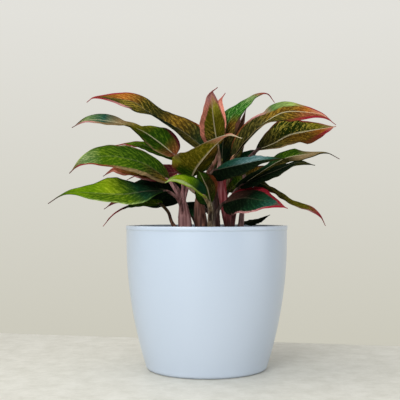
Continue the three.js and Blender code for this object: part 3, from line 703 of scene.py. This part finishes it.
class Path:
    """A smooth curve through a few points, read by the share of its length."""

    STEPS = 400

    def __init__(self, points):
        points = np.array(points, float)
        points = np.vstack([2 * points[0] - points[1], points, 2 * points[-1] - points[-2]])
        spans = len(points) - 3
        x = np.linspace(0, spans, self.STEPS)
        first = np.minimum(x.astype(int), spans - 1)
        w = (x - first)[:, None]
        a, b, c, d = (points[first + i] for i in range(4))
        bend = (2 * a - 5 * b + 4 * c - d) * w**2 + (3 * b - a - 3 * c + d) * w**3
        self.rows = 0.5 * (2 * b + (c - a) * w + bend)
        pieces = np.linalg.norm(np.diff(self.rows, axis=0), axis=1)
        self.shares = np.concatenate([[0], np.cumsum(pieces)]) / pieces.sum()
        self.length = pieces.sum()

    def at(self, share):
        """Places at shares of the length."""
        columns = [np.interp(share, self.shares, self.rows[:, i]) for i in range(3)]
        return np.stack(columns, axis=-1)

    def along(self, share):
        """Directions at shares of the length."""
        step = 0.004
        ahead = self.at(np.minimum(share + step, 1))
        behind = self.at(np.maximum(share - step, 0))
        return unit(ahead - behind)


def spread(values, shares):
    """Values given evenly from base to tip, at shares of the length."""
    return np.interp(shares, np.linspace(0, 1, len(values)), values)


def toned(names, shares, shade):
    """Tones named evenly from base to tip, at shares of the length. shade 1 is the flecks'."""
    channels = zip(*[TONES[name][shade] for name in names.split()])
    return np.stack([spread(channel, shares) for channel in channels], axis=-1)


def note_colours(mesh, key, colours):
    """Keeps rows of colours on the mesh's vertices for its material to read."""
    rows = np.hstack([colours, np.ones((len(colours), 1))]).astype(np.float32)
    mesh.attributes.new(key, "FLOAT_COLOR", "POINT").data.foreach_set("color", rows.ravel())


def note_values(mesh, key, values):
    """Keeps one value on each of the mesh's vertices for its material to read."""
    mesh.attributes.new(key, "FLOAT", "POINT").data.foreach_set("value", values.astype(np.float32))


STALK_SIDES = 18
STALK_RINGS = 36
UP = np.array([0.0, 0.0, 1.0])


def stalk_blank():
    """A closed unit rod, a disc extruded ring by ring, that is bent into canes and petioles."""
    bpy.ops.object.select_all(action="DESELECT")
    bpy.ops.mesh.primitive_circle_add(vertices=STALK_SIDES, radius=1, fill_type="NGON")
    rod = bpy.context.object
    rod.name = "stalk_blank"
    bpy.ops.object.mode_set(mode="EDIT")
    for _ in range(STALK_RINGS):
        step = {"value": (0, 0, 1 / STALK_RINGS)}
        bpy.ops.mesh.extrude_region_move(TRANSFORM_OT_translate=step)
    bpy.ops.mesh.select_all(action="SELECT")
    bpy.ops.mesh.normals_make_consistent(inside=False)
    bpy.ops.object.mode_set(mode="OBJECT")
    return rod


def bend_stalk(blank, name, path, side, radius_at, tones):
    """A copy of the rod along a path. side is the sideways direction all along it."""
    stalk = copy_piece(blank, name)
    rod = vertex_places(stalk.data)
    share = np.clip(rod[:, 2], 0, 1)
    angle = np.arctan2(rod[:, 1], rod[:, 0])
    reach = np.hypot(rod[:, 0], rod[:, 1])
    direction = path.along(share)
    across = unit(side - direction * (direction @ side)[:, None])
    outward = np.cross(across, direction)
    radius = (radius_at(share, angle) * reach)[:, None]
    places = path.at(share) + radius * (np.cos(angle)[:, None] * across + np.sin(angle)[:, None] * outward)
    set_vertex_places(stalk.data, places * MM)
    note_colours(stalk.data, "body", toned(tones, share, 0))
    note_colours(stalk.data, "bright", toned(tones, share, 1))
    return stalk


def cane_axis(shoot, z):
    """The middle of a cane at a height."""
    share = max(0, z - MIX_TOP) / (shoot["top"] - MIX_TOP)
    return [shoot["x"] + shoot["lean"] * share, shoot["y"], z]


SCAR_SPACING = 11
SCAR_HALF_WIDTH = 1.1
SCAR_TILT = 2.0
SCAR_HEIGHT = 0.05
OVERLAP_HEIGHT = 0.06
TOP_TAPER = 26
TOP_SHARE = 0.3


def make_cane(blank, name, shoot):
    """A cane with the ring scars of old leaves, drawn in to a blunt top."""
    heights = np.linspace(CANE_FOOT, shoot["top"], 6)
    path = Path([cane_axis(shoot, z) for z in heights])

    def radius_at(share, angle):
        z = CANE_FOOT + share * (shoot["top"] - CANE_FOOT)
        from_scar = (z + SCAR_TILT * np.sin(angle)) % SCAR_SPACING - SCAR_SPACING / 2
        scars = SCAR_HEIGHT * np.exp(-((from_scar / SCAR_HALF_WIDTH) ** 2))
        overlap = OVERLAP_HEIGHT * np.sin(angle * 2 + z * 0.12)
        drawn_in = np.clip((shoot["top"] - z) / TOP_TAPER, 0, 1) ** 0.6
        return shoot["radius"] * (TOP_SHARE + 0.66 * drawn_in) * (0.97 + scars + overlap)

    return bend_stalk(blank, name, path, np.array([1.0, 0, 0]), radius_at, shoot["tones"])


SHEATH_DROP = 24
SHEATH_SHARE = 0.72
SHEATH_OFFSET = 0.34
PETIOLE_END_RADIUS = 1.9
RISE_OUT = 0.18
RISE_UP = 0.45
LEAN_FLAT = 0.7
LEAN_UP = 0.5
APPROACH = 0.27
RUN_UNDER = 7.0
BELOW_BLADE = 0.9
CLASP_MORE = 8
STALK_GROOVE = 0.22
STALK_GROOVE_ANGLE = 0.55


def make_petiole(blank, name, item):
    """A petiole from the sheath round its cane to its blade, grooved, run on under the blade."""
    shoot = shoots[item["shoot"]]
    root = np.array(cane_axis(shoot, item["root"]), float)
    base = np.array(item["midrib"][0], float)
    midrib = Path(item["midrib"])
    start = midrib.along(np.array([0.0]))[0]
    reach = np.linalg.norm(base - root)
    rise = root + RISE_OUT * (base - root)
    rise[2] = root[2] + RISE_UP * (base[2] - root[2])
    bend = rise if item["via"] is None else np.array(item["via"], float)
    bearing = bend - root
    bearing[2] = 0
    aside = unit(bearing) * SHEATH_OFFSET * shoot["radius"]
    foot = np.array(cane_axis(shoot, item["root"] - SHEATH_DROP), float) + 0.6 * aside
    lean = unit(start * LEAN_FLAT + UP * LEAN_UP)
    approach = base - lean * APPROACH * reach
    under = base + start * RUN_UNDER - unit(UP - start * start[2]) * BELOW_BLADE
    path = Path([foot, root + aside, bend, approach, base, under])
    flat = np.array([start[0], start[1], 0.0])
    side = unit(np.cross(flat, UP))
    sheath = SHEATH_SHARE * shoot["radius"]
    clasp = (SHEATH_DROP + CLASP_MORE) / path.length

    def radius_at(share, angle):
        leaving = np.clip((share - 0.5 * clasp) / (1.3 * clasp), 0, 1)
        narrowing = sheath + (PETIOLE_END_RADIUS - sheath) * np.sin(leaving * math.pi / 2) ** 0.9
        groove = 1 - STALK_GROOVE * np.exp(-(((angle - math.pi / 2) / STALK_GROOVE_ANGLE) ** 2))
        tail = np.clip((1 - share) * path.length / RUN_UNDER, 0, 1) ** 0.5
        foot_taper = 0.55 + 0.45 * np.clip(share / (0.25 * clasp), 0, 1)
        return narrowing * groove * (0.35 + 0.65 * tail) * foot_taper

    first_tone = shoot["tones"].split()[-1]
    return bend_stalk(blank, name, path, side, radius_at, f'{first_tone} {item["stalk"]}')


def noted(tree, key, output="Fac"):
    """What is kept on the mesh's vertices under a key."""
    return add_node(tree, "Attribute", attribute_name=key).outputs[output]


def shoot_material():
    """Sheaths and petioles: fine lengthwise streaks over the tones kept on the stalks, darkened in the
    streaks' grooves as painted shade.
    """
    finish = {"Roughness": 0.5, "Specular IOR Level": 0.1}
    material, tree, shader = new_material("sheath_skin", finish)
    place = add_node(tree, "TexCoord").outputs["Object"]
    drawn = add_node(tree, "Mapping", {"Vector": place, "Scale": (420.0, 420.0, 22.0)})
    streaks = add_noise(tree, drawn.outputs["Vector"], 1.0, 4.0)
    body, bright = noted(tree, "body", "Color"), noted(tree, "bright", "Color")
    colour = blend(tree, add_range(tree, streaks, 0.46, 0.62), body, bright)
    # The streaks' low grooves are darkened down to 0.4 of the colour: painted shade in the grooves of the
    # relief.
    depth = add_range(tree, streaks, 0.3, 0.5, 0.4, 1.0)
    shaded = add_node(tree, "HueSaturation", {"Color": colour, "Value": depth})
    tree.links.new(shaded.outputs["Color"], shader.inputs["Base Color"])
    add_bump(tree, shader, streaks, 0.35, 0.4)
    return material


sheath_skin = shoot_material()
blank = stalk_blank()
for key, shoot in shoots.items():
    stalks = [make_cane(blank, f"cane_{key}", shoot)]
    for name, item in leaves.items():
        if item["shoot"] == key:
            stalks.append(make_petiole(blank, f"petiole_{name}", item))
    stem = join_pieces(stalks, f"shoot_{key}_stems")
    bpy.ops.object.shade_smooth_by_angle(angle=math.radians(50))
    stem.data.materials.append(sheath_skin)
    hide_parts(f"shoot_{key}")
    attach(stem, "root")
bpy.data.objects.remove(blank)


# Leaf blades: thin, leathery and satin. Each starts as one flat blank, a grid sheet given a
# thickness, and is bent along its midrib, folded, rolled and waved into its own place.
BLADE_COLUMNS = 30
BLADE_ROWS = 84
BLADE_HALF_THICKNESS = 0.3
BODY_END = 0.97
STALK_HALF_WIDTH = 2
TIP_HALF_WIDTH = 0.45
ARCH = 0.16
WAVES = 2.6
WAVE_OFFSET = 1.3
WAVE_POWER = 1.5
FRILLS = 7.3
FRILL_HEIGHT = 0.3
RAGS = 5.1
RAG_SHARE = 0.012
GROOVE_DEPTH = 0.3
GROOVE_HALF_WIDTH = 1.1
RIB_HALF_WIDTH = 1.5
RIB_DEPTH = 1.7
VEIN_PAIRS = 15
VEIN_SWEEP = 3.4
VEIN_BOW = 1.2
VEIN_LIFT = 0.14
MIDRIB_CROWDING = 1.35
END_CROWDING = 0.05
UNDER_RIB = 0.7
FLECK_PACE = (4.4, 9.0)
FLECK_LEVELS = (0.50, 0.62)
PATCH_PACE = (0.35, 1.4)
RIM_LEVELS = (0.95, 1.05)
RIB_LEVELS = (0.06, 0.02)
UPPER_RIB_COLOUR = (0.60, 0.53, 0.33)
UNDER_RIB_COLOUR = (0.40, 0.33, 0.20)


def blade_blank():
    """A flat sheet from -1 to 1 across and along, with an upper and an under face."""
    bpy.ops.object.select_all(action="DESELECT")
    bpy.ops.mesh.primitive_grid_add(x_subdivisions=BLADE_COLUMNS, y_subdivisions=BLADE_ROWS, size=2)
    sheet = bpy.context.object
    sheet.name = "blade_blank"
    thickness = sheet.modifiers.new("thickness", "SOLIDIFY")
    thickness.thickness = 2
    thickness.offset = 0
    thickness.material_offset = 1
    thickness.material_offset_rim = 1
    for name in ("upper", "under"):
        sheet.data.materials.append(bpy.data.materials.new(name))
    bpy.ops.object.modifier_apply(modifier="thickness")
    return sheet


def half_width(s, width, shape):
    """Half the blade's width along its length, in millimetres."""
    x = np.minimum(s / BODY_END, 1)
    towards_base, towards_tip = shape
    widest = towards_base / (towards_base + towards_tip)
    body = x**towards_base * (1 - x) ** towards_tip
    body /= widest**towards_base * (1 - widest) ** towards_tip
    tail = STALK_HALF_WIDTH * (1 - s) + TIP_HALF_WIDTH * s
    return tail + (width / 2 - STALK_HALF_WIDTH) * body


def blade_places(item, u, s, side, seed):
    """The places of a blade's vertices, from where they lie across, along and above or below."""
    path = Path(item["midrib"])
    direction = path.along(s)
    normal = unit(UP - direction * direction[:, 2:3])
    across = np.cross(direction, normal)
    roll = np.radians(spread(item["roll"], s))[:, None]
    normal, across = (
        np.cos(roll) * normal + np.sin(roll) * across,
        np.cos(roll) * across - np.sin(roll) * normal,
    )
    half = half_width(s, item["width"], item["shape"])
    fold = np.radians(spread(item["fold"], s))
    ends = np.sin(np.pi * np.minimum(1, s / BODY_END))
    out = np.abs(u)
    phase = 2 * np.pi * WAVES * s + np.where(u > 0, WAVE_OFFSET, 0)
    wave = item["wave"] * np.sin(phase) * ends * out**WAVE_POWER
    frill = FRILL_HEIGHT * np.sin(2 * np.pi * FRILLS * s + seed + 1.9 * u) * ends * out**3
    veins = VEIN_LIFT * np.cos(2 * np.pi * (VEIN_PAIRS * s - VEIN_SWEEP * out**VEIN_BOW))
    veins *= ends * np.minimum(1, out * 5) * (1 - out**4)
    lift = half * out * np.sin(fold) - ARCH * half * u * u + wave + frill + veins
    from_rib = u * half
    rib = RIB_DEPTH * (1 - 0.75 * s) * np.exp(-((from_rib / (RIB_HALF_WIDTH * (1 - 0.55 * s))) ** 2))
    groove = GROOVE_DEPTH * np.exp(-((from_rib / GROOVE_HALF_WIDTH) ** 2))
    thin = BLADE_HALF_THICKNESS * (1 - 0.4 * out**6)
    depth = np.where(side > 0, thin - groove, -thin - rib)
    ragged = 1 + RAG_SHARE * np.sin(2 * np.pi * RAGS * s + 2.3 * seed + u) * ends
    places = path.at(s)
    places = places + across * (half * u * np.cos(fold) * ragged)[:, None]
    return places + normal * (lift + depth)[:, None]


def make_blade(blank, name, item, seed):
    """One leaf's blade, bent out of the blank and toned along its length, half by half."""
    blade = copy_piece(blank, f"blade_{name}")
    flat = vertex_places(blade.data)
    u = np.sign(flat[:, 0]) * np.abs(flat[:, 0]) ** MIDRIB_CROWDING
    along = (flat[:, 1] + 1) / 2
    s = along - END_CROWDING * np.sin(2 * np.pi * along)
    set_vertex_places(blade.data, blade_places(item, u, s, flat[:, 2], seed) * MM)
    right = np.clip(0.5 + u * 6, 0, 1)[:, None]
    for key, part, shade in (("body", "tones", 0), ("bright", "tones", 1), ("rim", "rim", 0)):
        halves = [toned(item[half][part], s, shade) for half in ("left", "right")]
        note_colours(blade.data, key, halves[0] * (1 - right) + halves[1] * right)
    edge = np.where(u > 0, spread(item["right"]["edge"], s), spread(item["left"]["edge"], s))
    rib = np.where(flat[:, 2] > 0, item["rib"], max(UNDER_RIB, item["rib"]))
    seeds = np.full(len(u), seed)
    for key, values in (("across", u), ("along", s), ("seed", seeds), ("edge", edge), ("rib", rib)):
        note_values(blade.data, key, values)
    return blade


def sum_up(tree, operation, first, second=0.0, third=0.0):
    """One step of arithmetic on values or other nodes' outputs."""
    return add_node(tree, "Math", {0: first, 1: second, 2: third}, operation=operation).outputs[0]


def blade_noise(tree, along, across, seed, pace, detail, roughness=0.5):
    """Noise over a blade, at a pace along its veins and across it."""
    place = add_node(tree, "CombineXYZ", {"X": sum_up(tree, "MULTIPLY", along, pace[0]),
                                          "Y": sum_up(tree, "MULTIPLY", across, pace[1]), "Z": seed})
    return add_noise(tree, place.outputs[0], 1.0, detail, roughness)


def leaf_material(name, rib, roughness, relief_strength):
    """A blade's face: flecks along the side veins, a midrib line and a margin of its own tone."""
    material, tree, shader = new_material(name, {"Roughness": roughness, "Specular IOR Level": 0.0})
    across, along, seed, edge = [noted(tree, key) for key in ("across", "along", "seed", "edge")]
    out = sum_up(tree, "ABSOLUTE", across)
    swept = sum_up(tree, "MULTIPLY", sum_up(tree, "POWER", out, VEIN_BOW), -VEIN_SWEEP)
    phase = sum_up(tree, "MULTIPLY_ADD", along, float(VEIN_PAIRS), swept)
    flecks = blade_noise(tree, phase, across, seed, FLECK_PACE, 3.0, 0.7)
    patches = blade_noise(tree, phase, across, seed, PATCH_PACE, 2.0)
    bands = sum_up(tree, "COSINE", sum_up(tree, "MULTIPLY", phase, 2 * math.pi))
    level = sum_up(tree, "MULTIPLY_ADD", bands, 0.05, flecks)
    level = sum_up(tree, "MULTIPLY_ADD", sum_up(tree, "SUBTRACT", patches, 0.5), 0.4, level)
    fleck_mask = add_range(tree, level, *FLECK_LEVELS)
    colour = blend(tree, fleck_mask, noted(tree, "body", "Color"), noted(tree, "bright", "Color"))

    ragged = sum_up(tree, "MULTIPLY", sum_up(tree, "SUBTRACT", flecks, 0.5), 0.24)
    reach = sum_up(tree, "ADD", sum_up(tree, "ADD", out, ragged), edge)
    brightness = add_range(tree, fleck_mask, 0.0, 1.0, 0.8, 1.35)
    rim = add_node(tree, "HueSaturation", {"Color": noted(tree, "rim", "Color"), "Value": brightness})
    colour = blend(tree, add_range(tree, reach, *RIM_LEVELS), colour, rim.outputs["Color"])

    rib_mask = sum_up(tree, "MULTIPLY", add_range(tree, out, *RIB_LEVELS), noted(tree, "rib"))
    colour = blend(tree, rib_mask, colour, rib)
    tree.links.new(colour, shader.inputs["Base Color"])
    relief = sum_up(tree, "MULTIPLY_ADD", bands, 0.4, sum_up(tree, "MULTIPLY", flecks, 0.8))
    add_bump(tree, shader, relief, relief_strength, 0.5)
    return material


upper_skin = leaf_material("leaf_upper", UPPER_RIB_COLOUR, 0.5, 0.3)
under_skin = leaf_material("leaf_under", UNDER_RIB_COLOUR, 0.6, 0.4)
blank = blade_blank()
blank.data.materials[0] = upper_skin
blank.data.materials[1] = under_skin
for number, (name, item) in enumerate(leaves.items()):
    blade = make_blade(blank, name, item, 1.7 * number)
    bpy.ops.object.select_all(action="DESELECT")
    blade.select_set(True)
    bpy.context.view_layer.objects.active = blade
    bpy.ops.object.shade_smooth_by_angle(angle=math.radians(70))
    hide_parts(f"leaf_{name}")
    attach(blade, "root")
bpy.data.objects.remove(blank)
